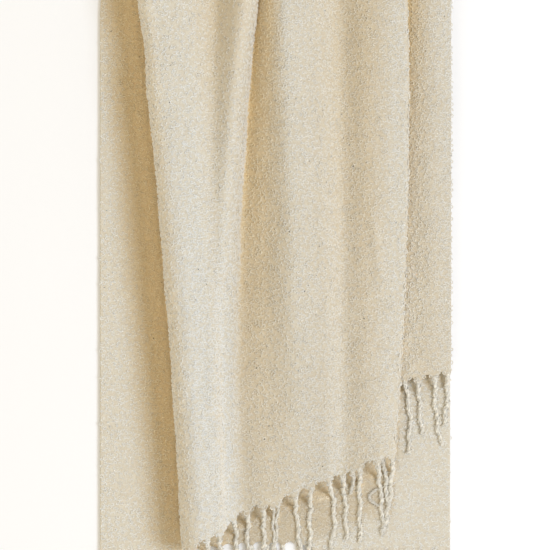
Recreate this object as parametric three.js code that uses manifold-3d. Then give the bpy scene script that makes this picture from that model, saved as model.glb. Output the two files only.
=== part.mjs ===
// Boucle throw, doubled over and laid down in soft lengthwise folds. One woven panel, with a fringe of
// yarn strands along each of its two ends. Millimetres; X across, Y up towards the turn-over, Z up.

import * as THREE from "three";
import Module from "manifold-3d";

const solids = await Module();
solids.setup();

// Driving dimensions
const clothThickness = 4;
const halfWidth = 177;
const turnOverY = 345;
const turnFullness = 1.18;
const highY = 285;
const stationGap = 275;
const topSpacing = 2;
const backHemY = -256;
const backHemDrop = 39;
const hemGap = 0.3;
const stripWidth = 4;
const strandWidth = 5;
const strandTipWidth = 3.6;
const strandHeight = 4;
const backStrandPitch = 16;
const backStrandLength = 82;
const dropStart = 2;
const dropLength = 34;
const rootShare = 0.65;
const rootDepth = hemGap + rootShare * stripWidth;

// How finely the cloth and the strands are divided
const stepsPerFold = 2;
const frontRows = 20;
const turnRows = 7;
const backRows = 8;
const strandRows = 8;
const halvings = 24;

// Fold lines of the front layer, from its left edge to its right edge. x and z are given at the high, the
// middle and the low station along the throw, and hem is the y at which the line meets the front hem. Lines
// of an overlap also have an open x and z, which they reach at the turn-over, where the overlap ends.
const foldLines = [
  { name: "left selvedge", x: [-126, -100, -81], z: [7.5, 7.5, 7.5], hem: -268, open: [-142, 8] },
  { name: "left edge", x: [-136, -110, -91], z: [39, 39, 31], hem: -266, open: [-136, 18] },
  { name: "left brow", x: [-130, -105, -86], z: [52, 51, 43], hem: -263, open: [-127, 44] },
  { name: "crest", x: [-115, -93, -75], z: [54, 55, 48], hem: -255 },
  { name: "shoulder", x: [-86, -76, -62], z: [50, 52, 45], hem: -250 },
  { name: "inner valley", x: [-63, -62, -53], z: [37, 48, 41], hem: -247 },
  { name: "inner rim", x: [-31, -48, -46], z: [58, 44, 36], hem: -243, open: [-29, 48] },
  { name: "inner edge", x: [-20, -36, -38], z: [45, 36, 30], hem: -235, open: [-20, 37] },
  { name: "trough", x: [-21, -28, -26], z: [20, 23, 23], hem: -226, open: [-9, 18] },
  { name: "trough rise", x: [-4, -10, -5], z: [39, 30, 25], hem: -217, open: [4, 27] },
  { name: "ridge", x: [10, 20, 30], z: [45, 44, 18], hem: -204 },
  { name: "ridge fall", x: [38, 46, 50], z: [39, 40, 17], hem: -196 },
  { name: "outer trough", x: [64, 67, 65], z: [17, 23, 15], hem: -190 },
  { name: "outer rise", x: [92, 92, 85], z: [25, 29, 20], hem: -180 },
  { name: "outer rim", x: [118, 116, 98], z: [27, 28, 22], hem: -175 },
  { name: "right edge", x: [131, 130, 110], z: [23, 23.5, 17], hem: -170, open: [126, 27] },
  { name: "pleat top", x: [123, 121, 101], z: [17.4, 17.4, 14], hem: -168, open: [130, 20.5] },
  { name: "pleat turn", x: [116, 109, 84], z: [17, 17, 13.6], hem: -165, open: [133.5, 17] },
  { name: "pleat back", x: [110, 103, 78], z: [12.8, 12.8, 10.6], hem: -162, open: [137, 13.5] },
  { name: "pleat foot", x: [116, 109, 84], z: [8.6, 8.6, 7.8], hem: -158, open: [141, 10.5] },
  { name: "side foot", x: [130, 128, 110], z: [8.6, 8.6, 8.4], hem: -97, open: [147, 8.8] },
  { name: "side rise", x: [156, 156, 156], z: [15, 14, 12], hem: -91 },
  { name: "right selvedge", x: [177, 177, 177], z: [12, 11, 9], hem: -86 },
];

// Strands of the front fringe by where their roots stand across the hem, with the sideways drift of the
// tip, the bow of the middle and the length. The run tells which stretch of the hem the root is on.
const hemRuns = {
  left: [1, 15],
  pleat: [16, 17],
  side: [19, 22],
};
const frontStrands = [
  { run: "left", root: -80, drift: -4, bow: -2, length: 76 },
  { run: "left", root: -67, drift: -2, bow: 2, length: 78 },
  { run: "left", root: -55, drift: 2, bow: -2, length: 80 },
  { run: "left", root: -41, drift: 1, bow: 2, length: 78 },
  { run: "left", root: -27, drift: 3, bow: -2, length: 80 },
  { run: "left", root: -12, drift: -3, bow: 2, length: 80 },
  { run: "left", root: 3, drift: -3, bow: -1, length: 80 },
  { run: "left", root: 20, drift: 9, bow: -1, length: 80 },
  { run: "left", root: 36, drift: 0, bow: -1, length: 80 },
  { run: "left", root: 54, drift: 0, bow: 6, length: 78 },
  { run: "left", root: 68, drift: 4, bow: 1, length: 66 },
  { run: "left", root: 84, drift: 1, bow: 0, length: 77 },
  { run: "left", root: 103, drift: 2, bow: 1, length: 74 },
  { run: "left", root: 117, drift: -4, bow: 3, length: 72 },
  { run: "pleat", root: 108, drift: 6, bow: 1, length: 58 },
  { run: "side", root: 130, drift: 4, bow: 4, length: 74 },
  { run: "side", root: 144, drift: 4, bow: 0, length: 56 },
  { run: "side", root: 161, drift: 7, bow: -2, length: 70 },
  { run: "side", root: 174, drift: -3, bow: 1, length: 52 },
];

// How the strands of the back fringe differ: the size of each difference, in millimetres, and the angle by
// which it turns from one strand to the next.
const backStrandSway = {
  drift: { size: 3, turn: 2.3 },
  bow: { size: 2, turn: 3.7 },
  length: { size: 5, turn: 1.9 },
};

const { lerp, smoothstep } = THREE.MathUtils;
const columns = (foldLines.length - 1) * stepsPerFold;

// A fold line's x or z at y, on the parabola through its three stations.
function alongFold([high, middle, low], y) {
  const s = (highY - y) / stationGap;
  return (high * (s - 1) * (s - 2)) / 2 - middle * s * (s - 2) + (low * s * (s - 1)) / 2;
}

// Where a fold line stands at a share of the way from the turn-over to the hem.
function foldPoint(line, share) {
  const y = lerp(turnOverY, line.hem, share);
  const folded = [alongFold(line.x, y), alongFold(line.z, y)];
  const [openX, openZ] = line.open ?? folded;
  const opened = smoothstep(y, highY, turnOverY);
  return new THREE.Vector3(lerp(folded[0], openX, opened), y, lerp(folded[1], openZ, opened));
}

// The front layer's cross-section at a share of the way down, a curve through all its fold lines.
function frontSection(share) {
  return new THREE.CatmullRomCurve3(foldLines.map((line) => foldPoint(line, share)));
}

// The back layer's hem, square but for its left part, which hangs lower.
function backHemAt(x) {
  return backHemY - backHemDrop * (Math.max(0, -x) / halfWidth) ** 2;
}

// The back layer's x along the turn-over, below the front layer's top but never running backwards.
function backTopX(top) {
  let reached = Math.min(...top.map((point) => point.x)) - topSpacing;
  return top.map((point) => {
    reached = Math.max(point.x, reached + topSpacing);
    return reached;
  });
}

// A row of the back layer at a share of the way down to its hem. It spreads to its full width on the way.
function backRow(topX, share) {
  return topX.map((x, column) => {
    const evenX = lerp(-halfWidth, halfWidth, column / columns);
    const y = lerp(turnOverY, backHemAt(evenX), share);
    return new THREE.Vector3(lerp(evenX, x, smoothstep(y, highY, turnOverY)), y, clothThickness / 2);
  });
}

// Half a turn from a point of the front layer's top down to the point of the back layer below it.
function turnPoint(front, back, angle) {
  const fall = (1 - Math.cos(angle)) / 2;
  const reach = ((front.z - back.z) / 2) * turnFullness * Math.sin(angle);
  return new THREE.Vector3(lerp(front.x, back.x, fall), turnOverY + reach, lerp(front.z, back.z, fall));
}

// The middle of the sheet as rows of points, from the front hem over the turn to the back hem.
function sheetRows() {
  const rows = [];
  for (let row = frontRows; row >= 0; row -= 1) {
    rows.push(frontSection(row / frontRows).getPoints(columns));
  }
  const top = rows[frontRows];
  const topX = backTopX(top);
  const under = backRow(topX, 0);
  for (let row = 1; row < turnRows; row += 1) {
    rows.push(top.map((point, column) => turnPoint(point, under[column], (Math.PI * row) / turnRows)));
  }
  for (let row = 0; row <= backRows; row += 1) {
    const share = row / backRows;
    rows.push(backRow(topX, share * share));
  }
  return rows;
}

// The way through a point of a line: the mean of the unit steps to it and from it.
function wayThrough(before, point, after) {
  const arrive = point.clone().sub(before).normalize();
  const leave = after.clone().sub(point).normalize();
  return arrive.add(leave).divideScalar(before === point || after === point ? 1 : 2);
}

// The sheet's normal at each point, longer where a bend needs it to keep the cloth's thickness. The back
// layer lies flat, with its outer face on the floor.
function sheetNormals(rows) {
  return rows.map((line, row) =>
    line.map((point, column) => {
      if (row >= frontRows + turnRows) {
        return new THREE.Vector3(0, 0, -1);
      }
      const before = rows[Math.max(row - 1, 0)][column];
      const after = rows[Math.min(row + 1, rows.length - 1)][column];
      const left = line[Math.max(column - 1, 0)];
      const right = line[Math.min(column + 1, line.length - 1)];
      const across = wayThrough(left, point, right);
      const along = wayThrough(before, point, after);
      const bend = across.length() * along.length();
      return across.cross(along).normalize().divideScalar(bend);
    }),
  );
}

// A closed body between two grids of points, the second one below the first.
function slabGeometry(above, below) {
  const rowCount = above.length;
  const columnCount = above[0].length;
  const points = [...above.flat(), ...below.flat()];
  const upper = (row, column) => row * columnCount + column;
  const lower = (row, column) => upper(row, column) + rowCount * columnCount;
  const index = [];
  const quad = (a, b, c, d) => index.push(a, b, c, a, c, d);
  for (let row = 0; row + 1 < rowCount; row += 1) {
    for (let column = 0; column + 1 < columnCount; column += 1) {
      quad(upper(row, column), upper(row, column + 1), upper(row + 1, column + 1), upper(row + 1, column));
      quad(lower(row, column), lower(row + 1, column), lower(row + 1, column + 1), lower(row, column + 1));
    }
    const last = columnCount - 1;
    quad(lower(row, 0), upper(row, 0), upper(row + 1, 0), lower(row + 1, 0));
    quad(lower(row, last), lower(row + 1, last), upper(row + 1, last), upper(row, last));
  }
  for (let column = 0; column + 1 < columnCount; column += 1) {
    const last = rowCount - 1;
    quad(lower(0, column), lower(0, column + 1), upper(0, column + 1), upper(0, column));
    quad(lower(last, column), upper(last, column), upper(last, column + 1), lower(last, column + 1));
  }
  const geometry = new THREE.BufferGeometry();
  geometry.setAttribute("position", new THREE.Float32BufferAttribute(points.flatMap((p) => p.toArray()), 3));
  geometry.setIndex(index);
  return geometry;
}

// A grid of points moved along its normals.
function offsetRows(rows, normals, distance) {
  return rows.map((line, row) =>
    line.map((point, column) => point.clone().addScaledVector(normals[row][column], distance)),
  );
}

// The narrow strip that carries a fringe, just off the hem and level with the cloth there. Its two long
// edges lie at the given distances from the hem, in the order in which the sheet's rows run.
function stripGeometry(hem, next, normals, distances) {
  const lines = distances.map((distance) =>
    hem.map((point, column) => {
      const outward = point.clone().sub(next[column]).normalize();
      return point.clone().addScaledVector(outward, distance);
    }),
  );
  const sides = [normals, normals];
  const above = offsetRows(lines, sides, clothThickness / 2);
  const below = offsetRows(lines, sides, -clothThickness / 2);
  return slabGeometry(above, below);
}

// A strand as a flat-sided tapering bar along a path of points.
function strandGeometry(path) {
  const up = new THREE.Vector3(0, 0, strandHeight / 2);
  const lines = path.map((point, row) => {
    const ahead = path[Math.min(row + 1, path.length - 1)].clone().sub(path[Math.max(row - 1, 0)]);
    const width = lerp(strandWidth, strandTipWidth, row / (path.length - 1));
    const side = new THREE.Vector3(ahead.y, -ahead.x, 0).setLength(width / 2);
    return [point.clone().sub(side), point.clone().add(side)];
  });
  const above = lines.map((line) => line.map((point) => point.clone().add(up)));
  const below = lines.map((line) => line.map((point) => point.clone().sub(up)));
  return slabGeometry(above, below);
}

// A strand's path from its root: it drops from the hem onto what lies below and wanders to its tip.
function strandPath(root, strand) {
  const path = [];
  for (let row = 0; row <= strandRows; row += 1) {
    const share = row / strandRows;
    const x = root.x + strand.drift * share + strand.bow * Math.sin(Math.PI * share);
    const y = root.y - rootDepth - strand.length * share;
    const rest = clothThickness + hemGap + strandHeight / 2;
    const drop = smoothstep(strand.length * share, dropStart, dropLength);
    path.push(new THREE.Vector3(x, y, Math.max(rest, lerp(root.z, rest, drop))));
  }
  return path;
}

// The point of a stretch of the front hem that stands at a given x.
function hemPointAt(run, x) {
  const hem = frontSection(1);
  const [first, last] = hemRuns[run].map((line) => line / (foldLines.length - 1));
  const at = (share) => hem.getPoint(lerp(first, last, share));
  const rising = at(1).x > at(0).x;
  let low = 0;
  let high = 1;
  for (let step = 0; step < halvings; step += 1) {
    const middle = (low + high) / 2;
    const short = at(middle).x < x === rising;
    low = short ? middle : low;
    high = short ? high : middle;
  }
  return at(low);
}

function toManifold(geometry) {
  const mesh = new solids.Mesh({
    numProp: 3,
    vertProperties: new Float32Array(geometry.getAttribute("position").array),
    triVerts: new Uint32Array(geometry.index.array),
  });
  return new solids.Manifold(mesh);
}

function fromManifold(body) {
  const mesh = body.getMesh();
  const geometry = new THREE.BufferGeometry();
  geometry.setAttribute("position", new THREE.Float32BufferAttribute(mesh.vertProperties, 3));
  geometry.setIndex(Array.from(mesh.triVerts));
  return geometry;
}

// A fringe in one body, its strands joined to their strip.
function fringeGeometry(strip, paths) {
  const bodies = [strip, ...paths.map(strandGeometry)].map(toManifold);
  return fromManifold(solids.Manifold.union(bodies));
}

const rows = sheetRows();
const normals = sheetNormals(rows);
const clothGeometry = slabGeometry(
  offsetRows(rows, normals, clothThickness / 2),
  offsetRows(rows, normals, -clothThickness / 2),
);

const stripReach = [hemGap, hemGap + stripWidth];
const frontStrip = stripGeometry(rows[0], rows[1], normals[0], stripReach.toReversed());
const frontPaths = frontStrands.map((strand) => strandPath(hemPointAt(strand.run, strand.root), strand));

const lastRow = rows.length - 1;
const backStrip = stripGeometry(rows[lastRow], rows[lastRow - 1], normals[lastRow], stripReach);
const backStrandCount = Math.floor((2 * halfWidth - strandWidth) / backStrandPitch);
const backPaths = Array.from({ length: backStrandCount + 1 }, (_, number) => {
  const x = (number - backStrandCount / 2) * backStrandPitch;
  const root = new THREE.Vector3(x, backHemAt(x) - hemGap, clothThickness / 2);
  const { drift, bow, length } = backStrandSway;
  const strand = {
    drift: drift.size * Math.sin(drift.turn * number),
    bow: bow.size * Math.sin(bow.turn * number),
    length: backStrandLength + length.size * Math.sin(length.turn * number),
  };
  return strandPath(root, strand).map((point) => point.setZ(strandHeight / 2));
});

const clothMaterial = new THREE.MeshStandardMaterial({ color: 0xd8d0bc, roughness: 0.95, metalness: 0 });
const yarnMaterial = new THREE.MeshStandardMaterial({ color: 0xdcd5c4, roughness: 0.95, metalness: 0 });

function named(name, geometry, material) {
  const mesh = new THREE.Mesh(geometry, material);
  mesh.name = name;
  return mesh;
}

const throwGroup = new THREE.Group();
throwGroup.name = "boucle_throw";
throwGroup.add(named("throw_cloth", clothGeometry, clothMaterial));
throwGroup.add(named("front_fringe", fringeGeometry(frontStrip, frontPaths), yarnMaterial));
throwGroup.add(named("back_fringe", fringeGeometry(backStrip, backPaths), yarnMaterial));

export default throwGroup;
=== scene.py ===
import math

import bpy
import numpy as np
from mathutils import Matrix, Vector


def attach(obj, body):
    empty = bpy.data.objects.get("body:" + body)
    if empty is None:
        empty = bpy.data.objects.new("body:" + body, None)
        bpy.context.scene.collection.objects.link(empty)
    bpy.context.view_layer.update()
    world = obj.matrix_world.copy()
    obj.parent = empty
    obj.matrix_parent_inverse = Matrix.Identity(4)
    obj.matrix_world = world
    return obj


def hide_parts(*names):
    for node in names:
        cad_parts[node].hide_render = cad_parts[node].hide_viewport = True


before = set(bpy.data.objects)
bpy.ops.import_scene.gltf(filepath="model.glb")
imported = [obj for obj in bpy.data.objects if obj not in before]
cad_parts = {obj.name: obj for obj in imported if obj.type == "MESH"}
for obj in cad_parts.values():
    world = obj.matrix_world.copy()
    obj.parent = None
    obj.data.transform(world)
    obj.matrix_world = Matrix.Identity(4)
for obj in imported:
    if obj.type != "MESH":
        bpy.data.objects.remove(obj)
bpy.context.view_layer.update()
metre = 0.001  # the sizes below are in millimetres
floorClear = 0.05  # no point of the throw lies lower than this
lastStep = 1.001  # a grid is read no closer to its end than this
print("frame loaded:", ", ".join(sorted(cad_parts)))


# Unit vectors along the last axis.
def unit(vectors):
    return vectors / np.maximum(np.linalg.norm(vectors, axis=-1, keepdims=True), 1e-9)


# Zero below low, one above high and a smooth cubic step between.
def smoothStep(value, low, high):
    share = np.clip((value - low) / (high - low), 0, 1)
    return share * share * (3 - 2 * share)


# Random heights on a square lattice of the given size, blended by cubic steps between its corners.
def softNoise(across, along, size, seed):
    repeat = 128
    lattice = np.random.default_rng(seed).standard_normal((repeat, repeat))
    column, row = np.floor(across / size).astype(int), np.floor(along / size).astype(int)
    right = smoothStep(across / size - column, 0, 1)
    up = smoothStep(along / size - row, 0, 1)

    def corner(stepRight, stepUp):
        return lattice[(column + stepRight) % repeat, (row + stepUp) % repeat]

    lower = corner(0, 0) * (1 - right) + corner(1, 0) * right
    upper = corner(0, 1) * (1 - right) + corner(1, 1) * right
    return lower * (1 - up) + upper * up


# Puts points in millimetres and faces of equal side count into a new object at the origin, with a tint for
# each point that holds its painted shade and light and its random tone. Points below the floor are lifted
# onto it.
def addPiece(name, points, faces, material, tint, maps=None, shading=None):
    lifted = points.copy()
    lifted[:, 2] = np.maximum(lifted[:, 2], floorClear)
    mesh = bpy.data.meshes.new(name)
    mesh.vertices.add(len(lifted))
    mesh.vertices.foreach_set("co", (lifted * metre).astype(np.float32).ravel())
    mesh.loops.add(faces.size)
    mesh.loops.foreach_set("vertex_index", faces.astype(np.int32).ravel())
    mesh.polygons.add(len(faces))
    mesh.polygons.foreach_set("loop_start", np.arange(0, faces.size, faces.shape[1], dtype=np.int32))
    mesh.update(calc_edges=True)
    mesh.polygons.foreach_set("use_smooth", np.ones(len(faces), bool))
    if maps is not None:
        layer = mesh.uv_layers.new(name="clothMap")
        layer.uv.foreach_set("vector", (maps * metre)[faces.ravel()].astype(np.float32).ravel())
    tints = mesh.attributes.new("tint", "FLOAT_COLOR", "POINT")
    tints.data.foreach_set("color", tint.astype(np.float32).ravel())
    if shading is not None:
        mesh.normals_split_custom_set_from_vertices(shading.astype(np.float32))
    mesh.materials.append(material)
    piece = bpy.data.objects.new(name, mesh)
    bpy.context.scene.collection.objects.link(piece)
    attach(piece, "root")
    return piece


# Materials

# A node of that kind with its plain input values set.
def addNode(tree, kind, **values):
    node = tree.nodes.new(kind)
    for name, value in values.items():
        node.inputs[name].default_value = value
    return node


# A math node that takes a socket and a number.
def addMath(tree, operation, socket, number):
    node = tree.nodes.new("ShaderNodeMath")
    node.operation = operation
    node.inputs[1].default_value = number
    tree.links.new(socket, node.inputs[0])
    return node.outputs[0]


# A mix node that multiplies a colour socket.
def addProduct(tree, socket):
    node = tree.nodes.new("ShaderNodeMix")
    node.data_type = "RGBA"
    node.blend_type = "MULTIPLY"
    tree.links.new(socket, node.inputs["A"])
    return node


# Painted shade and light: at a tone of one the wool is multiplied by this warmth, and the random mottle uses
# it too. The caps below bound the painted shade and light.
warmth = (1.00, 0.86, 0.62)  # what the wool is multiplied by at a tone of one
deepTone = 1.05  # the warmest and the palest that it gets
mostPale = 1.2


# Tints for tones and a paleness, which carry painted shade and light and a random tone: a tone of zero
# leaves the wool as it is, one gives it the full warmth of painted shade, and one below zero makes it cooler,
# as painted light.
def tintAt(tone, pale):
    share = np.minimum(np.ravel(tone), deepTone)[:, None]
    colour = (1 - share + share * np.array(warmth)) * np.minimum(pale, mostPale)
    return np.concatenate([colour, np.ones_like(share)], 1)


# Matt wool. A soft noise is folded to and fro, so that its contours run as curled lines: pale on the lines,
# darker and warmer in the pits between as painted shade, with a bump of the same height. It is multiplied by
# the piece's own tint, which holds its painted shade and light, and by the warmth as far as a random mottle
# says.
def woolMaterial(name, look):
    material = bpy.data.materials.new(name)
    material.use_nodes = True
    tree = material.node_tree
    shader = tree.nodes["Principled BSDF"]
    shader.inputs["Roughness"].default_value = 0.92
    shader.inputs["Specular IOR Level"].default_value = 0.15
    shader.inputs["Sheen Weight"].default_value = 0.1
    shader.inputs["Sheen Roughness"].default_value = 0.6
    shader.inputs["Subsurface Weight"].default_value = look["glow"]  # light passes through loose wool
    shader.inputs["Subsurface Radius"].default_value = (1.0, 0.9, 0.8)
    shader.inputs["Subsurface Scale"].default_value = look["glowReach"] * metre
    place = tree.nodes.new("ShaderNodeTexCoord").outputs["Object"]
    field = addNode(tree, "ShaderNodeTexNoise", Scale=1000 / look["curlSize"], Detail=1.0, Distortion=0.6)
    mottle = addNode(tree, "ShaderNodeTexNoise", Scale=1000 / look["mottleSize"], Detail=3.0, Roughness=0.6)
    for texture in (field, mottle):
        tree.links.new(place, texture.inputs["Vector"])
    lines = addMath(tree, "MULTIPLY", field.outputs["Fac"], look["curlLines"])
    lines = addMath(tree, "PINGPONG", lines, 1.0)
    ramp = tree.nodes.new("ShaderNodeValToRGB")
    ramp.color_ramp.elements[0].position = 0.1
    ramp.color_ramp.elements[0].color = (*look["pit"], 1)
    ramp.color_ramp.elements[1].position = 0.8
    ramp.color_ramp.elements[1].color = (*look["line"], 1)
    tree.links.new(lines, ramp.inputs["Fac"])
    own = tree.nodes.new("ShaderNodeAttribute")
    own.attribute_name = "tint"
    tinted = addProduct(tree, ramp.outputs["Color"])
    tinted.inputs["Factor"].default_value = 1.0
    tree.links.new(own.outputs["Color"], tinted.inputs["B"])
    warmer = addProduct(tree, tinted.outputs["Result"])
    warmer.inputs["B"].default_value = (*warmth, 1)
    share = addMath(tree, "MULTIPLY", mottle.outputs["Fac"], look["mottle"])
    tree.links.new(share, warmer.inputs["Factor"])
    tree.links.new(warmer.outputs["Result"], shader.inputs["Base Color"])
    relief = addNode(tree, "ShaderNodeBump", Strength=look["bump"], Distance=look["depth"] * metre)
    tree.links.new(lines, relief.inputs["Height"])
    tree.links.new(relief.outputs["Normal"], shader.inputs["Normal"])
    return material


# The ground under the loops is darker and warmer than the loops: painted shade in the pits between them.
groundWool = woolMaterial("groundWool", {
    "line": (0.66, 0.60, 0.48), "pit": (0.60, 0.53, 0.41), "mottle": 0.1,
    "curlSize": 5.0, "curlLines": 9.0, "mottleSize": 9.0, "bump": 0.3, "depth": 0.5,
    "glow": 0.4, "glowReach": 1.5,
})
loopWool = woolMaterial("loopWool", {
    "line": (0.80, 0.755, 0.66), "pit": (0.78, 0.73, 0.625), "mottle": 0.1,
    "curlSize": 3.0, "curlLines": 6.0, "mottleSize": 7.0, "bump": 0.2, "depth": 0.3,
    "glow": 0.2, "glowReach": 1.5,
})
fringeWool = woolMaterial("fringeWool", {
    "line": (0.90, 0.86, 0.76), "pit": (0.86, 0.81, 0.70), "mottle": 0.1,
    "curlSize": 3.0, "curlLines": 6.0, "mottleSize": 7.0, "bump": 0.4, "depth": 0.4,
    "glow": 0.4, "glowReach": 2.0,
})
print("materials ready")


# Folds of the cloth

sheet = {
    "turnOverY": 345, "turnFullness": 1.18, "highY": 285, "stationGap": 275, "topSpacing": 0.6,
    "halfWidth": 177, "backHemY": -260, "backHemDrop": (37, 9), "backHemStep": (14, 50), "backMiddle": 2.0,
    "halfThick": 1.6, "columns": 240, "frontRows": 104, "turnRows": 12, "backRows": 56, "evenRows": 0.4,
    "sections": 9, "sectionSteps": 16, "hemSteps": 400,  # how finely the folds and the hem are measured
    # Size and height of the cloth's unevenness, its share on the floor layer and how far it sinks there
    "lumps": ((34, 0.55), (15, 0.28)), "lumpSeed": 11, "floorLumps": 0.3, "floorSink": 0.2,
    # How the hem is drawn out into its strands
    "rootReach": 7.5, "rootWidth": 3.4, "archLift": 1.5, "drawn": 18, "backDrawn": 0.5,
    # Painted light: the floor layer is painted paler and cooler than the folds, most on the left
    "floorPaintedTone": -0.3, "floorLightPaint": (1.13, 1.06), "floorStep": (-130, -60),
    "flat": (0.46, 1.31), "area": 0.467,  # metres and square metres, measured along the sheet
}

# Fold lines of the front layer from left to right: x and z at the high, the middle and the low station, the
# y of the front hem, and the x and z to which the lines of an overlap open at the turn-over. The tone and the
# paleness painted there, one number or one for each station, are painted shade and light: warmer in troughs
# and beside edges, where shade falls, cooler on tops that face the light, and paler or darker to temper the
# shading.
foldLines = [
    dict(name="left selvedge", x=(-124, -98, -81), z=(7.5, 7.5, 7.5), hem=-268, open=(-142, 8)),
    dict(name="left edge", x=(-134, -108, -91), z=(39, 39, 31), hem=-266, open=(-136, 18),
         tone=(-0.1, 0.1, 0), pale=1.2),
    dict(name="left brow", x=(-128, -103, -86), z=(52, 51, 43), hem=-263, open=(-127, 44),
         tone=(-0.2, 0, -0.05), pale=(1.2, 1.18, 1.17)),
    dict(name="crest", x=(-115, -93, -75), z=(54, 55, 48), hem=-255,
         tone=(-0.35, -0.40, -0.3), pale=(1.10, 1.06, 1.06)),
    dict(name="shoulder", x=(-86, -76, -62), z=(50, 52, 45), hem=-250, tone=(-0.25, -0.45, -0.3), pale=1.06),
    dict(name="inner valley", x=(-59, -62, -53), z=(37, 48, 41), hem=-247,
         tone=(0.3, -0.25, -0.25), pale=1.05),
    dict(name="inner rim", x=(-31, -52, -49), z=(58, 44, 36), hem=-243, open=(-29, 48),
         tone=(0.05, -0.35, -0.35), pale=(1.03, 1.06, 1.07)),
    dict(name="inner edge", x=(-20, -43, -42), z=(45, 37, 30), hem=-235, open=(-20, 37),
         tone=(0, -0.25, -0.45), pale=(1, 0.98, 1.01)),
    dict(name="trough", x=(-18, -34, -30), z=(24, 24, 23), hem=-226, open=(-9, 18),
         tone=(1.5, 0.6, -0.1), pale=(1.18, 0.97, 1.0)),
    dict(name="trough rise", x=(-4, -10, -5), z=(39, 30, 25), hem=-217, open=(4, 27),
         tone=(0.8, 0.35, -0.15), pale=(1.16, 1.05, 1.04)),
    dict(name="ridge", x=(10, 20, 30), z=(45, 44, 18), hem=-204,
         tone=(-0.3, -0.25, -0.15), pale=(1.05, 1.06, 0.98)),
    dict(name="ridge fall", x=(38, 46, 50), z=(39, 40, 17), hem=-196,
         tone=(-0.1, -0.05, -0.1), pale=(1, 0.96, 0.94)),
    dict(name="outer trough", x=(64, 67, 65), z=(17, 24, 17), hem=-190,
         tone=(0.3, 0.1, -0.3), pale=(1, 1.02, 1.05)),
    dict(name="outer rise", x=(92, 92, 85), z=(25, 29, 20), hem=-180, tone=(0.3, 0.15, -0.1)),
    dict(name="outer rim", x=(118, 116, 98), z=(27, 28, 22), hem=-175, tone=(-0.2, -0.2, -0.05), pale=1.02),
    dict(name="right edge", x=(131, 130, 110), z=(23, 23.5, 17), hem=-170, open=(126, 27),
         tone=(-0.15, -0.2, -0.05)),
    dict(name="pleat top", x=(123, 121, 101), z=(17.4, 17.4, 14), hem=-168, open=(130, 20.5), tone=-0.1),
    dict(name="pleat turn", x=(116, 109, 84), z=(17, 17, 13.6), hem=-165, open=(133.5, 17)),
    dict(name="pleat back", x=(110, 103, 78), z=(12.8, 12.8, 10.6), hem=-162, open=(137, 13.5)),
    dict(name="pleat foot", x=(116, 109, 84), z=(8.6, 8.6, 7.8), hem=-158, open=(141, 10.5),
         tone=(1.1, 0, 0.1), pale=1.1),
    dict(name="side foot", x=(130, 128, 110), z=(8.6, 8.6, 8.4), hem=-97, open=(147, 8.8),
         tone=(1.1, 0, 0.1), pale=(1.14, 1.20, 1.18)),
    dict(name="side rise", x=(156, 156, 156), z=(15, 14, 12), hem=-91, tone=(-0.05, 0, 0)),
    dict(name="right selvedge", x=(177, 177, 177), z=(12, 11, 9), hem=-86,
         tone=(-0.25, -0.1, 0.1), pale=(1.02, 0.98, 0.97)),
]
foldIndex = {line["name"]: number for number, line in enumerate(foldLines)}


# The parabola through a fold line's three stations, read at y.
def alongFold(stations, y):
    s = (sheet["highY"] - y) / sheet["stationGap"]
    high, middle, low = stations
    return high * (s - 1) * (s - 2) / 2 - middle * s * (s - 2) + low * s * (s - 1) / 2


# Every fold line at shares of the way from the turn-over to its hem. Its x and z are on its parabola, and
# they blend to the open place between the high station and the turn-over.
def foldPoints(shares):
    hem = np.array([line["hem"] for line in foldLines], float)
    y = sheet["turnOverY"] + (hem - sheet["turnOverY"]) * shares[:, None]
    opened = smoothStep(y, sheet["highY"], sheet["turnOverY"])
    places = []
    for axis, name in enumerate("xz"):
        folded = alongFold(np.array([line[name] for line in foldLines], float).T, y)
        target = np.array([line["open"][axis] if "open" in line else np.nan for line in foldLines])
        places.append(np.where(np.isnan(target), folded, folded + (target - folded) * opened))
    return np.stack([places[0], y, places[1]], -1)


# Centripetal Catmull-Rom curve through each row of points, read at parameters counted in fold lines. Steps
# are measured by the square root of their length, and each end has a mirrored point beyond it.
def throughFolds(points, parameters):
    before = 2 * points[:, :1] - points[:, 1:2]
    after = 2 * points[:, -1:] - points[:, -2:-1]
    step = np.diff(np.concatenate([before, points, after], 1), axis=1)
    gap = np.sqrt(np.linalg.norm(step, axis=2, keepdims=True))
    s0, s1, s2 = step[:, :-2], step[:, 1:-1], step[:, 2:]
    g0, g1, g2 = gap[:, :-2], gap[:, 1:-1], gap[:, 2:]
    leave = (s0 / g0 - (s0 + s1) / (g0 + g1) + s1 / g1) * g1
    arrive = (s1 / g1 - (s1 + s2) / (g1 + g2) + s2 / g2) * g1
    span = np.minimum(parameters.astype(int), points.shape[1] - 2)
    t = (parameters - span)[None, :, None]
    bend = 3 * s1 - 2 * leave - arrive
    twist = leave + arrive - 2 * s1
    return points[:, span] + leave[:, span] * t + bend[:, span] * t**2 + twist[:, span] * t**3


# Column parameters that divide the mean cross-section evenly by its length.
def evenColumns(count):
    fine = np.linspace(0, len(foldLines) - 1, sheet["sectionSteps"] * len(foldLines))
    section = throughFolds(foldPoints(np.linspace(0, 1, sheet["sections"])), fine)
    length = np.linalg.norm(np.diff(section, axis=1), axis=2).mean(0)
    reached = np.concatenate([[0], np.cumsum(length)])
    return np.interp(np.linspace(0, reached[-1], count + 1), reached, fine)


# The back hem's y: it falls from the middle to either side, by the square on the left and by a step on the
# right.
def backHemAt(x):
    left, right = sheet["backHemDrop"]
    leftFall = left * (np.maximum(0, -x) / sheet["halfWidth"]) ** 2
    rightFall = right * smoothStep(x, *sheet["backHemStep"])
    return sheet["backHemY"] - (leftFall + rightFall)


# Shares of the way from a hem that stand closer near it: part in even steps and part by their square.
def sharesFromHem(count):
    even = np.linspace(0, 1, count + 1)
    return sheet["evenRows"] * even + (1 - sheet["evenRows"]) * even**2


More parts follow.
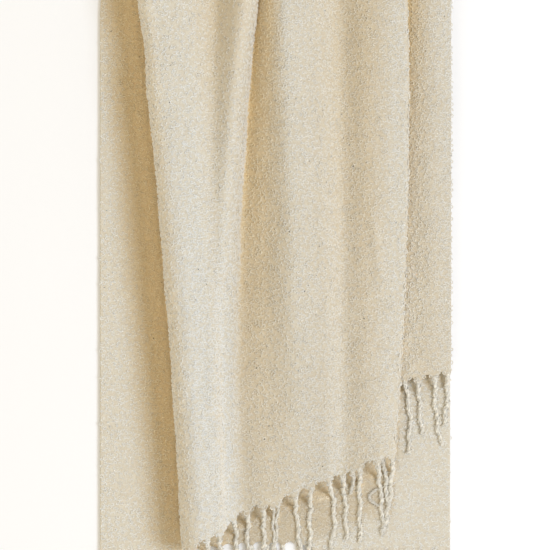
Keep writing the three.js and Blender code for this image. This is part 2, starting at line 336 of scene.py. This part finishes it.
# Rows of the sheet's middle from the front hem over the turn to the back hem. The turn is half a circle,
# stretched a little outwards, from each point of the top row to the floor layer under it.
def sheetMiddle(parameters):
    front = throughFolds(foldPoints(1 - sharesFromHem(sheet["frontRows"])), parameters)
    top = front[-1]
    spaced = sheet["topSpacing"] * np.arange(len(parameters))
    topX = np.maximum.accumulate(top[:, 0] - spaced) + spaced
    angle = np.pi * np.arange(1, sheet["turnRows"])[:, None] / sheet["turnRows"]
    fall = (1 - np.cos(angle)) / 2
    reach = (top[:, 2] - sheet["backMiddle"]) / 2 * sheet["turnFullness"] * np.sin(angle)
    turnX = top[:, 0] + (topX - top[:, 0]) * fall
    turnZ = top[:, 2] + (sheet["backMiddle"] - top[:, 2]) * fall
    turn = np.stack([turnX, sheet["turnOverY"] + reach, turnZ], -1)
    evenX = np.linspace(-sheet["halfWidth"], sheet["halfWidth"], len(parameters))
    share = 1 - sharesFromHem(sheet["backRows"])[::-1, None]
    backY = sheet["turnOverY"] + (backHemAt(evenX) - sheet["turnOverY"]) * share
    backX = evenX + (topX - evenX) * smoothStep(backY, sheet["highY"], sheet["turnOverY"])
    back = np.stack([backX, backY, np.full_like(backX, sheet["backMiddle"])], -1)
    return np.concatenate([front, turn, back])


# Strand places

# Front strands by the x of their roots on a run of fold lines along the hem, with the drift of the tip, the
# bow of the middle, the length, and for thinner ones the share of the usual thickness.
hemRuns = {"left": (1, 15), "pleat": (16, 17), "side": (19, 22)}  # the first and the last fold line
frontStrands = [
    dict(run="left", root=-80, drift=-4, bow=-2, length=76),
    dict(run="left", root=-67, drift=-2, bow=2, length=78),
    dict(run="left", root=-55, drift=2, bow=-2, length=80),
    dict(run="left", root=-41, drift=1, bow=2, length=78),
    dict(run="left", root=-27, drift=3, bow=-2, length=80),
    dict(run="left", root=-12, drift=-3, bow=2, length=80),
    dict(run="left", root=-2, drift=-1, bow=1, length=76, thick=0.6),
    dict(run="left", root=3.5, drift=-3, bow=-1, length=80, thick=0.65),
    dict(run="left", root=20, drift=9, bow=-1, length=80),
    dict(run="left", root=36, drift=0, bow=-1, length=80),
    dict(run="left", root=54, drift=0, bow=6, length=78),
    dict(run="left", root=68, drift=4, bow=1, length=66),
    dict(run="left", root=78, drift=-1, bow=1, length=24, thick=0.7),
    dict(run="left", root=85, drift=1, bow=0, length=77),
    dict(run="left", root=103, drift=6, bow=1, length=74),
    dict(run="left", root=118, drift=-9, bow=3, length=76),
    dict(run="pleat", root=108, drift=6, bow=1, length=58),
    dict(run="side", root=130, drift=4, bow=4, length=74),
    dict(run="side", root=144, drift=4, bow=0, length=56),
    dict(run="side", root=161, drift=7, bow=-2, length=70),
    dict(run="side", root=174, drift=-3, bow=1, length=52),
]
# Back strands stand at an even pitch. Each difference has a size, and a turn from one strand to the next.
backStrands = {"pitch": 16, "margin": 5, "length": 82}
backSway = {"drift": (3, 2.3), "bow": (2, 3.7), "length": (5, 1.9)}
# A yarn that has sprung out of a strand as a loop: where it leaves, how far it stands out and its length.
strayLoop = dict(start=(104, -206), out=-9, length=17, thick=0.55)


# The roots on the front hem, read off its curve within each run: the points and their fold parameters.
def frontRoots():
    hem = foldPoints(np.array([1.0]))
    points, parameters = [], []
    for run, (first, last) in hemRuns.items():
        tried = np.linspace(first, last, sheet["hemSteps"])
        line = throughFolds(hem, tried)[0]
        order = np.argsort(line[:, 0])
        wanted = [strand["root"] for strand in frontStrands if strand["run"] == run]
        parameters.append(np.interp(wanted, line[order, 0], tried[order]))
        points.append(throughFolds(hem, parameters[-1])[0])
    return np.concatenate(points), np.concatenate(parameters)


# The roots on the back hem, in the middle of the sheet.
def backRoots():
    count = int((2 * sheet["halfWidth"] - backStrands["margin"]) // backStrands["pitch"]) + 1
    x = (np.arange(count) - (count - 1) / 2) * backStrands["pitch"]
    return np.stack([x, backHemAt(x), np.full(count, sheet["backMiddle"])], -1)


rootPoints, rootParameters = frontRoots()
backRootPoints = backRoots()


# Cloth sheet

# A crease in the front layer, a soft ridge from its start to its end. It fades by a step at both, and only
# cloth that faces up more than this takes it.
crease = {
    "start": (98, 73), "end": (105, -5), "width": 5, "height": 1.6, "fade": (-0.15, 0.25), "facing": 0.35,
}


# Millimetres along the rows and the columns of a grid of points, as the mean of its steps.
def gridLengths(points):
    down = np.linalg.norm(np.diff(points, axis=0), axis=2).mean(1)
    over = np.linalg.norm(np.diff(points, axis=1), axis=2).mean(0)
    return np.concatenate([[0], np.cumsum(down)]), np.concatenate([[0], np.cumsum(over)])


# Unit normals of a grid of points: the cross product of its central differences. The back layer lies level.
def sheetNormals(points):
    normals = unit(np.cross(np.gradient(points, axis=1), np.gradient(points, axis=0)))
    normals[backStart:] = (0, 0, -1)
    return normals


# How far a hem is drawn out: by a bell round each root, less a little between them, easing off further in.
def drawnOut(inward, across, roots):
    bell = np.exp(-(((across[:, None] - roots) / sheet["rootWidth"]) ** 2)).sum(1)
    reach = np.minimum(bell, 1) * (sheet["rootReach"] + sheet["archLift"]) - sheet["archLift"]
    return (1 - smoothStep(inward, 0, sheet["drawn"]))[:, None] * reach


# The height of the crease over the plan: a bell across it that fades towards both ends.
def creaseHeight(x, y):
    start, end = np.array(crease["start"], float), np.array(crease["end"], float)
    way = end - start
    share = ((x - start[0]) * way[0] + (y - start[1]) * way[1]) / (way @ way)
    nearest = np.clip(share, 0, 1)
    off = np.hypot(x - start[0] - nearest * way[0], y - start[1] - nearest * way[1])
    fade = smoothStep(share, *crease["fade"]) * smoothStep(1 - share, *crease["fade"])
    return crease["height"] * np.exp(-((off / crease["width"]) ** 2)) * fade


# The sheet's middle with its drawn hems, its crease and soft lumps, and its normals. The floor layer's lumps
# are lower, and hardly sink.
def finishedSheet(points):
    points = points.copy()
    rootAcross = np.interp(rootParameters, foldParameters, acrossAt)
    points[..., 1] -= drawnOut(alongAt, acrossAt, rootAcross)
    backDrawn = drawnOut(alongAt[-1] - alongAt, points[-1, :, 0], backRootPoints[:, 0])
    points[backStart:, :, 1] -= sheet["backDrawn"] * backDrawn[backStart:]
    normals = sheetNormals(points)
    rise = sum(
        height * softNoise(acrossAt[None, :], alongAt[:, None], size, sheet["lumpSeed"] + size)
        for size, height in sheet["lumps"]
    )
    rise[backStart:] = np.minimum(-sheet["floorLumps"] * rise[backStart:], sheet["floorSink"])
    facing = normals[..., 2] > crease["facing"]
    rise += facing * creaseHeight(points[..., 0], points[..., 1])
    points += normals * rise[..., None]
    return points, sheetNormals(points)


# The painted tone or paleness of the wool, its painted shade and light, at a fold parameter and a y: straight
# from one fold line to the next, and along them by the parabola through the stations.
def foldPaint(name, usual, parameter, y):
    stations = np.array([np.broadcast_to(line.get(name, usual), 3) for line in foldLines]).T
    numbers = np.arange(len(foldLines))
    low = sheet["highY"] - 2 * sheet["stationGap"]
    across = [np.interp(parameter, numbers, values) for values in stations]
    return alongFold(across, np.clip(y, low, sheet["highY"]))


# How pale the floor layer is painted, as painted light: from the left value to the right one by a step.
def floorLightPaint(x):
    left, right = sheet["floorLightPaint"]
    return left + (right - left) * smoothStep(x, *sheet["floorStep"])


# Painted shade: wool below nearby folds and hems is painted warmer, and darker or paler.
shadePaint = {
    "cell": (4.0, 10.0), "low": (-200.0, -400.0), "count": (101, 81), "steps": 22,  # the plan's cells
    "rise": (0.5, 2.2), "upright": (0.3, 0.95),  # walls take no tone
    # Directions in the plan: how much a rise counts, the distances between which it stops to count, the
    # heights between which the full painted shade is reached, and the painted tone and paleness that it adds.
    "ways": [
        dict(x=1, y=0, weight=1.2, near=40, far=74, tall=(30, 50), tone=1.15, pale=-0.08),
        dict(x=1, y=0, weight=1.2, near=10, far=34, tall=(30, 50), tone=0.0, pale=0.12),
        dict(x=0, y=1, weight=4.5, near=40, far=88, tall=(6, 18), tone=0.55, pale=-0.12),
        dict(x=0, y=1, weight=2.0, near=8, far=26, tall=(6, 16), tone=0.8, pale=0.34),
        dict(x=-1, y=0, weight=0.6, near=16, far=40, tall=(0, 16), tone=0.3, pale=0.1),
    ],
}


# The height of the topmost cloth in each cell of the plan, as rows along y and columns along x.
def heightMap(points):
    top = points.reshape(-1, 3)
    column, row = np.rint((top[:, :2] - shadePaint["low"]) / shadePaint["cell"]).astype(int).T
    heights = np.full(shadePaint["count"][::-1], sheet["backMiddle"])
    np.maximum.at(heights, (row, column), top[:, 2])
    return heights


# The painted tone of the deepest cover over each point and the painted paleness that all of it adds: in each
# direction by the steepest and highest rise to the cloth there, as a share from open to deep.
def shadePaintAt(points):
    flat = points.reshape(-1, 3)
    tone, pale = np.zeros(len(flat)), np.zeros(len(flat))
    for way in shadePaint["ways"]:
        low, high = way["tall"]
        deepest = np.zeros(len(flat))
        for step in range(1, shadePaint["steps"] + 1):
            away = step * shadePaint["cell"][0]
            column = (flat[:, 0] + away * way["x"] - shadePaint["low"][0]) / shadePaint["cell"][0]
            row = (flat[:, 1] + away * way["y"] - shadePaint["low"][1]) / shadePaint["cell"][1]
            rise = readGrid(topHeights[..., None], row, column)[:, 0] - flat[:, 2]
            weight = way["weight"] * (1 - smoothStep(away, way["near"], way["far"]))
            steep = smoothStep(weight * rise / away, *shadePaint["rise"])
            deepest = np.maximum(deepest, steep * np.clip((rise - low) / (high - low), 0, 1))
        tone = np.maximum(tone, way["tone"] * deepest)
        pale += way["pale"] * deepest
    return tone.reshape(points.shape[:-1]), pale.reshape(points.shape[:-1])


# A grid's values at fractional rows and columns, bilinear.
def readGrid(grid, row, column):
    r = np.clip(row, 0, grid.shape[0] - lastStep)
    c = np.clip(column, 0, grid.shape[1] - lastStep)
    r0, c0 = r.astype(int), c.astype(int)
    fr, fc = (r - r0)[:, None], (c - c0)[:, None]
    upper = grid[r0, c0] * (1 - fc) + grid[r0, c0 + 1] * fc
    lower = grid[r0 + 1, c0] * (1 - fc) + grid[r0 + 1, c0 + 1] * fc
    return upper * (1 - fr) + lower * fr


# A closed slab: the middle moved half the thickness to either side along its normals, with its rim joined.
def slab(points, normalsAt, halfThick):
    rows, columns = points.shape[:2]
    number = np.arange(rows * columns).reshape(rows, columns)
    below = number + rows * columns
    top = np.stack([number[:-1, :-1], number[:-1, 1:], number[1:, 1:], number[1:, :-1]], -1)
    bottom = np.stack([below[:-1, :-1], below[1:, :-1], below[1:, 1:], below[:-1, 1:]], -1)
    rim = np.concatenate([number[0, :], number[1:, -1], number[-1, -2::-1], number[-2:0:-1, 0]])
    after = np.roll(rim, -1)
    edge = np.stack([rim + rows * columns, after + rows * columns, after, rim], -1)
    faces = np.concatenate([top.reshape(-1, 4), bottom.reshape(-1, 4), edge])
    sides = np.stack([points + normalsAt * halfThick, points - normalsAt * halfThick])
    return sides.reshape(-1, 3), faces


foldParameters = evenColumns(sheet["columns"])
backStart = sheet["frontRows"] + sheet["turnRows"]
plainMiddle = sheetMiddle(foldParameters)
alongAt, acrossAt = gridLengths(plainMiddle)
middle, normals = finishedSheet(plainMiddle)
clothPoints, clothFaces = slab(middle, normals, sheet["halfThick"])
flatPlaces = np.stack(np.broadcast_arrays(acrossAt[None, :], alongAt[:, None]), -1).reshape(-1, 2)
topHeights = heightMap(middle[:backStart])
# Painted shade and light on the cloth: the tones and paleness of the fold lines and of the floor layer, and
# the painted shade under higher cloth; walls take no painted tone.
paintedClothTone = foldPaint("tone", 0.0, foldParameters, middle[..., 1])
paintedClothPale = foldPaint("pale", 1.0, foldParameters, middle[..., 1])
paintedClothTone[backStart:] = sheet["floorPaintedTone"]
paintedClothPale[backStart:] = floorLightPaint(middle[backStart:, :, 0])
shadePaintTone, shadePaintPale = shadePaintAt(middle)
paintedClothTone = (paintedClothTone + shadePaintTone) * smoothStep(np.abs(normals[..., 2]), *shadePaint["upright"])
paintedClothPale += shadePaintPale
cloth = addPiece(
    "throw_sheet", clothPoints, clothFaces, groundWool,
    np.tile(tintAt(paintedClothTone, paintedClothPale.reshape(-1, 1)), (2, 1)), maps=np.tile(flatPlaces, (2, 1)),
)
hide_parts("throw_cloth")
widths = np.linalg.norm(np.diff(plainMiddle, axis=1), axis=2).sum(1)
lengths = np.linalg.norm(np.diff(plainMiddle, axis=0), axis=2).sum(0)
print(
    f"cloth sheet: {2 * len(clothFaces)} triangles, {widths.min():.0f} to {widths.max():.0f} mm wide,",
    f"{lengths.min():.0f} to {lengths.max():.0f} mm long",
)


# Loops of the boucle

loops = {
    "spacing": 3.6, "floorSpacing": 4.2, "jitter": 0.36,  # neighbours on the folds and on the floor layer
    "steps": 6, "sides": 3,
    "radius": (1.1, 2.2), "turns": (0.45, 0.95), "squash": (0.7, 1.0), "sway": 0.9, "yarn": (0.52, 0.78),
    "sunk": 0.4, "lift": (0.15, 0.75), "floorLift": 0.6,  # how deep the ends go and how far the middle rises
    "fuzz": 1.4,  # how far the shading leans to the cloth's own, as loose fibres soften each loop
    "selvedge": 1.5, "floorSelvedge": 1, "tuck": 8,  # bare edges, and how far loops go in under the folds
    # What the pleat hides begins and ends this share of a fold before its top and its foot, and stops this
    # far below the turn-over
    "pleatHides": (0.3, 0.5), "pleatOpens": 40,
    # Painted shade: a loop is painted warmer towards its roots, down in the pile where shade falls, besides a
    # random tone.
    "rootShadeTone": 0.12, "usualTone": -0.03, "toneSpread": 0.03,  # a loop is warmer towards its roots
    "seed": 5,
}
random = np.random.default_rng(loops["seed"])


# Tubes round a whole array of paths (count, steps, 3). The first corner of a section faces upright, and both
# ends are closed by a fan of triangles.
def tubes(paths, upright, radii, sides):
    count, steps = paths.shape[:2]
    ahead = unit(np.gradient(paths, axis=1))
    out = unit(upright - ahead * (upright * ahead).sum(-1, keepdims=True))
    side = np.cross(ahead, out)
    angle = 2 * np.pi * np.arange(sides) / sides
    reach = np.cos(angle)[:, None] * out[:, :, None] + np.sin(angle)[:, None] * side[:, :, None]
    points = paths[:, :, None] + radii[:, :, None, None] * reach
    number = np.arange(count * steps * sides).reshape(count, steps, sides)
    here, there = number[:, :-1], number[:, 1:]
    hereNext, thereNext = np.roll(here, -1, 2), np.roll(there, -1, 2)
    faces = [np.stack([here, hereNext, thereNext], -1), np.stack([here, thereNext, there], -1)]
    first, last = number[:, 0], number[:, -1]
    for corner in range(1, sides - 1):
        faces.append(np.stack([first[:, 0], first[:, corner + 1], first[:, corner]], -1))
        faces.append(np.stack([last[:, 0], last[:, corner], last[:, corner + 1]], -1))
    return points.reshape(-1, 3), np.concatenate([part.reshape(-1, 3) for part in faces])


# Shading normals of tubes: each points off its own path, but leans towards a given direction, as the loose
# fibres between yarns soften their light and shade.
def softShading(points, paths, towards):
    around = points.reshape(*paths.shape[:2], -1, 3) - paths[:, :, None]
    return unit(unit(around) + towards).reshape(-1, 3)


# Sites in millimetres on a jittered lattice, every other row shifted by half a step.
def scatter(width, length, spacing):
    over, down = np.meshgrid(np.arange(0, width, spacing), np.arange(0, length, spacing))
    over = over + spacing / 2 * (np.arange(over.shape[0]) % 2)[:, None]
    jitter = random.uniform(-loops["jitter"], loops["jitter"], (2, *over.shape)) * spacing
    return np.stack([over + jitter[0], down + jitter[1]], -1).reshape(-1, 2)


# Curls of yarn at sites on the cloth. Each is an uneven arc or ring in the cloth's plane that rises by a half
# wave from its sunk ends, so that it stands out of the cloth as a pulled loop does.
def curls(centre, normal, across, tone, pale, lift):
    count = len(centre)
    u = np.linspace(0, 1, loops["steps"])[None, :]
    radius = random.uniform(*loops["radius"], (count, 1))
    sweep = 2 * np.pi * random.uniform(*loops["turns"], (count, 1)) * random.choice([-1, 1], (count, 1))
    angle = random.uniform(0, 2 * np.pi, (count, 1)) + sweep * (u - 0.5)
    angle = angle + loops["sway"] * random.uniform(-1, 1, (count, 1)) * np.sin(2 * np.pi * u)
    squash = random.uniform(*loops["squash"], (count, 1))
    tall = random.uniform(*loops["lift"], (count, 1)) * lift
    height = np.sqrt(np.sin(np.pi * u).clip(0)) * (tall + loops["sunk"]) - loops["sunk"]
    tangent = unit(across - normal * (across * normal).sum(-1, keepdims=True))
    other = np.cross(normal, tangent)
    paths = centre[:, None] + height[..., None] * normal[:, None]
    paths = paths + (radius * np.cos(angle))[..., None] * tangent[:, None]
    paths = paths + (radius * squash * np.sin(angle))[..., None] * other[:, None]
    yarn = random.uniform(*loops["yarn"], (count, 1)) * np.ones_like(u)
    points, faces = tubes(paths, np.broadcast_to(normal[:, None], paths.shape), yarn, loops["sides"])
    shading = softShading(points, paths, loops["fuzz"] * normal[:, None, None])
    risen = (height + loops["sunk"]) / (tall + loops["sunk"])
    # The painted tone of each point: the site's painted shade and light, a random tone of its own, and
    # painted shade towards the roots.
    own = loops["usualTone"] + random.uniform(-1, 1, (count, 1)) * loops["toneSpread"]
    warm = tone[:, None] + own + loops["rootShadeTone"] * (1 - risen**2)
    tint = tintAt(warm, np.repeat(pale, loops["steps"])[:, None])
    return points, faces, np.repeat(tint, loops["sides"], axis=0), shading


# Sites on the outer face of the front layer and of the turn, but for the part that the pleat hides, with the
# painted shade and light there.
def frontSites():
    site = scatter(acrossAt[-1] - loops["selvedge"], alongAt[backStart - 2], loops["spacing"])
    column = np.interp(site[:, 0], acrossAt, np.arange(len(acrossAt)))
    row = np.interp(site[:, 1], alongAt, np.arange(len(alongAt)))
    fold = np.interp(column, np.arange(len(foldParameters)), foldParameters)
    first, last = loops["pleatHides"]
    hidden = (fold > foldIndex["pleat top"] - first) & (fold < foldIndex["side foot"] - last)
    hidden &= site[:, 1] < alongAt[sheet["frontRows"]] - loops["pleatOpens"]
    row, column, fold = row[~hidden], column[~hidden], fold[~hidden]
    normal = unit(readGrid(normals, row, column))
    across = readGrid(np.gradient(middle, axis=1), row, column)
    centre = readGrid(middle, row, column) + normal * sheet["halfThick"]
    tone, pale = shadePaintAt(centre)
    tone += foldPaint("tone", 0.0, fold, centre[:, 1])
    pale += foldPaint("pale", 1.0, fold, centre[:, 1])
    return centre, normal, across, tone * smoothStep(normal[:, 2], *shadePaint["upright"]), pale


# Sites on the floor layer where it shows, left of the folds and below the front hem, with the painted shade
# and light there.
def floorSites():
    width = 2 * sheet["halfWidth"] - 2 * loops["selvedge"]
    length = sheet["turnOverY"] - backHemAt(-float(sheet["halfWidth"]))
    site = scatter(width, length, loops["floorSpacing"])
    x = site[:, 0] - sheet["halfWidth"] + loops["selvedge"]
    y = sheet["turnOverY"] - site[:, 1]
    unseen = ("left selvedge", "pleat turn", "pleat back", "pleat foot")
    hemLine = [line for line in foldLines if line["name"] not in unseen]
    hemX = np.array([line["x"][2] for line in hemLine], float)
    hemY = np.array([line["hem"] for line in hemLine], float)
    leftEdge = np.array(foldLines[foldIndex["left edge"]]["x"], float)
    shows = (x < alongFold(leftEdge, y) + loops["tuck"]) | (y < np.interp(x, hemX, hemY) + loops["tuck"])
    side = middle[:backStart - 1:-1, 0]
    shows &= (y > backHemAt(x)) & (y < sheet["turnOverY"])
    shows &= x > np.interp(y, side[:, 1], side[:, 0]) + loops["floorSelvedge"]
    x, y = x[shows], y[shows]
    centre = np.stack([x, y, np.full_like(x, sheet["backMiddle"] + sheet["halfThick"])], -1)
    normal = np.broadcast_to((0.0, 0.0, 1.0), centre.shape)
    across = np.broadcast_to((1.0, 0.0, 0.0), centre.shape)
    tone, pale = shadePaintAt(centre)
    return centre, normal, across, tone + sheet["floorPaintedTone"], pale + floorLightPaint(x)


# The curls in pieces of a like number each, from the top of the throw to its hems.
def addLoops(name, sites, lift, pieces):
    order = np.argsort(-sites[0][:, 1])
    made = []
    for number, part in enumerate(np.array_split(order, pieces)):
        points, faces, tint, shading = curls(*(values[part] for values in sites), lift)
        piece = addPiece(f"{name}_{number + 1}", points, faces, loopWool, tint, shading=shading)
        print(piece.name, len(part), "loops,", len(faces), "triangles")
        made.append(piece)
    return made


loopPieces = addLoops("fold_loops", frontSites(), 1.0, 4)
loopPieces += addLoops("floor_loops", floorSites(), loops["floorLift"], 1)


# Fringe

fringe = {
    "stepLength": 1.8, "yarns": 3, "yarnRadius": 1.25, "twistRadius": 1.25, "twistPitch": 24, "sides": 5,
    "flat": 0.65, "taper": 0.25,  # strands are flatter than round, and their yarns thinner at the tip
    "wander": 0.45, "wanderPaces": (0.75, 0.9), "knobs": 0.25, "knobPaces": (1.25, 0.41),
    # Thin yarns round them: how wide and how far each turn is, and how it swells and slips along
    "curls": ((1.9, 3.6), (2.7, 5.6)), "curlYarn": 0.5, "curlSteps": 7, "curlSides": 3, "curlFlat": 0.75,
    "swell": (0.35, 0.37), "slip": (1.4, 0.5),
    "wave": (0.9, 27), "ripple": (0.5, 2.2), "waveStart": 20,  # sideways waves, and half as high ones
    "fuzz": 0.9, "tone": (-0.1, 0.2),
    "rest": 4.9, "floorRest": 2.7, "drop": (2, 20), "rootDepth": 2.5,
    "seed": 9,
}
waves = np.random.default_rng(fringe["seed"])


# A column of random phases, one for each strand.
def phases(count):
    return waves.uniform(0, 2 * np.pi, (count, 1))


# Middle lines of strands (count, steps, 3): from the root the height eases down to the rest, the tip drifts,
# the middle bows by half a wave, and small waves run along.
def strandLines(roots, drift, bow, length, rest):
    share = np.linspace(0, 1, 1 + int(length.max() / fringe["stepLength"]))[None, :]
    run = length[:, None] * share
    height, size = fringe["wave"]
    lower, often = fringe["ripple"]
    wave = height * np.sin(2 * np.pi * run / size + phases(len(roots)))
    wave += lower * height * np.sin(2 * often * np.pi * run / size + phases(len(roots)))
    x = roots[:, :1] + drift[:, None] * share + bow[:, None] * np.sin(np.pi * share)
    x = x + wave * smoothStep(run, 0, fringe["waveStart"])
    y = roots[:, 1:2] - fringe["rootDepth"] - run
    z = roots[:, 2:] + (rest - roots[:, 2:]) * smoothStep(run, *fringe["drop"])
    return np.stack([x, y, z], -1)


# A path read at more places, by straight steps between its points.
def finer(lines, count):
    place = np.linspace(0, lines.shape[1] - lastStep, count)
    low = place.astype(int)
    part = (place - low)[None, :, None]
    return lines[:, low] * (1 - part) + lines[:, low + 1] * part


# Strands of spun yarn: knobbly yarns twisted round each middle line, each wandering a little by itself, and
# thin ones that curl round them. A strand's share of the usual thickness sets how far they reach.
def strandMesh(lines, thick):
    count, steps = lines.shape[:2]
    thick = thick[:, None]
    length = np.linalg.norm(np.diff(lines, axis=1), axis=2).sum(1)[:, None]
    run = length * np.linspace(0, 1, steps)[None, :]
    start = phases(count)
    parts = []

    # A tube and its shading, which leans to the roundness of the whole strand.
    def addYarn(path, core, radius, sides):
        points, faces = tubes(path, np.broadcast_to((0.0, 0.0, 1.0), path.shape), radius, sides)
        off = points.reshape(*path.shape[:2], sides, 3) - core[:, :, None]
        parts.append((points, faces, softShading(points, path, fringe["fuzz"] * unit(off))))

    # Waves along the strands at two paces, each strand with its own phases.
    def twoWaves(paces):
        return [np.sin(pace * run + phases(count)) for pace in paces]

    for yarn in range(fringe["yarns"]):
        turn = 2 * np.pi * (run / fringe["twistPitch"] + yarn / fringe["yarns"]) + start
        wanderX, wanderZ = twoWaves(fringe["wanderPaces"])
        sideways = fringe["twistRadius"] * np.cos(turn) + fringe["wander"] * wanderX
        upwards = fringe["twistRadius"] * np.sin(turn) + fringe["wander"] * wanderZ
        off = thick[..., None] * np.stack([sideways, 0 * turn, fringe["flat"] * upwards], -1)
        quick, slow = twoWaves(fringe["knobPaces"])
        knobbly = 1 + fringe["knobs"] * quick * slow
        radius = thick * fringe["yarnRadius"] * knobbly * (1 - fringe["taper"] * run / length)
        addYarn(lines + off, lines, radius, fringe["sides"])
    swell, swellPace = fringe["swell"]
    slip, slipPace = fringe["slip"]
    for wide, pitch in fringe["curls"]:
        turns = int(length.max() / pitch)
        core = finer(lines, turns * fringe["curlSteps"])
        turn = 2 * np.pi * np.linspace(0, turns, core.shape[1])[None, :] + phases(count)
        reach = thick * wide * (1 + swell * np.sin(swellPace * turn + phases(count)))
        upwards = fringe["curlFlat"] * reach * np.sin(turn)
        off = np.stack([reach * np.cos(turn), slip * np.sin(slipPace * turn), upwards], -1)
        addYarn(core + off, core, np.full(turn.shape, fringe["curlYarn"]), fringe["curlSides"])
    points, faces, shading = zip(*parts)
    shift = np.cumsum([0] + [len(part) for part in points])
    faces = np.concatenate([part + before for part, before in zip(faces, shift)])
    return np.concatenate(points), faces, np.concatenate(shading)


# A fringe piece that stands for its solid.
def addFringe(name, node, lines, thick):
    points, faces, shading = strandMesh(lines, thick)
    tone = waves.uniform(*fringe["tone"], len(points))
    piece = addPiece(name, points, faces, fringeWool, tintAt(tone, 1.0), shading=shading)
    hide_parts(node)
    print(name, len(lines), "strands,", len(faces), "triangles")
    return piece


# The path of the loop that stands out of a strand: half a wave sideways along its length.
def strayLine(loop, steps):
    share = np.linspace(0, 1, steps)
    x = loop["start"][0] + loop["out"] * np.sin(np.pi * share)
    y = loop["start"][1] - loop["length"] * share
    return np.stack([x, y, np.full(steps, fringe["rest"])], -1)[None]


own = {
    name: np.array([strand.get(name, 1.0) for strand in frontStrands], float)
    for name in ("drift", "bow", "length", "thick")
}
frontLines = strandLines(rootPoints, own["drift"], own["bow"], own["length"], fringe["rest"])
frontLines = np.concatenate([frontLines, strayLine(strayLoop, frontLines.shape[1])])
frontThick = np.append(own["thick"], strayLoop["thick"])
backNumbers = np.arange(len(backRootPoints))
sway = {name: size * np.sin(turn * backNumbers) for name, (size, turn) in backSway.items()}
backLength = backStrands["length"] + sway["length"]
backLines = strandLines(backRootPoints, sway["drift"], sway["bow"], backLength, fringe["floorRest"])
fringePieces = [
    addFringe("front_strands", "front_fringe", frontLines, frontThick),
    addFringe("back_strands", "back_fringe", backLines, np.ones(len(backLines))),
]


# Floor, light and camera

studio = {
    "floorHalf": 3.0, "floorColor": (0.97, 0.98, 1.00),
    "keyTurn": -10, "keyRise": 51, "keyAway": 2.6, "keySize": 1.1,
    "keyPower": 35, "keyColor": (0.73, 0.82, 1.00),
    "skyColor": (1.00, 0.92, 0.77), "skyStrength": 0.80,
    "cameraHeight": 2.2, "cameraY": 0.010, "focusHeight": 0.028, "frameWidth": 0.55, "sensor": 36.0,
}


# A plain pale floor.
def addFloor():
    half = studio["floorHalf"]
    mesh = bpy.data.meshes.new("floor")
    corners = [(-half, -half, 0), (half, -half, 0), (half, half, 0), (-half, half, 0)]
    mesh.from_pydata(corners, [], [(0, 1, 2, 3)])
    material = bpy.data.materials.new("paleFloor")
    material.use_nodes = True
    shader = material.node_tree.nodes["Principled BSDF"]
    shader.inputs["Base Color"].default_value = (*studio["floorColor"], 1)
    shader.inputs["Roughness"].default_value = 0.9
    mesh.materials.append(material)
    floor = bpy.data.objects.new("floor", mesh)
    bpy.context.scene.collection.objects.link(floor)


# A round soft light from the right and an even sky.
def addLights():
    turn, rise = math.radians(studio["keyTurn"]), math.radians(studio["keyRise"])
    toLight = Vector((math.cos(rise) * math.cos(turn), math.cos(rise) * math.sin(turn), math.sin(rise)))
    light = bpy.data.lights.new("keyLight", "AREA")
    light.shape = "DISK"
    light.size = studio["keySize"]
    light.energy = studio["keyPower"]
    light.color = studio["keyColor"]
    key = bpy.data.objects.new("keyLight", light)
    key.location = toLight * studio["keyAway"]
    key.rotation_euler = toLight.to_track_quat("Z", "Y").to_euler()
    bpy.context.scene.collection.objects.link(key)
    world = bpy.data.worlds.new("sky")
    world.use_nodes = True
    sky = world.node_tree.nodes["Background"]
    sky.inputs["Color"].default_value = (*studio["skyColor"], 1)
    sky.inputs["Strength"].default_value = studio["skyStrength"]
    bpy.context.scene.world = world


# The camera looks straight down, with the frame's width given at the height of the folds.
def addCamera():
    data = bpy.data.cameras.new("camera")
    data.sensor_width = studio["sensor"]
    data.lens = studio["sensor"] * (studio["cameraHeight"] - studio["focusHeight"]) / studio["frameWidth"]
    camera = bpy.data.objects.new("camera", data)
    camera.location = (0, studio["cameraY"], studio["cameraHeight"])
    bpy.context.scene.collection.objects.link(camera)
    bpy.context.scene.camera = camera


addFloor()
addLights()
addCamera()
bpy.context.scene.view_settings.view_transform = "Standard"
print("studio ready")
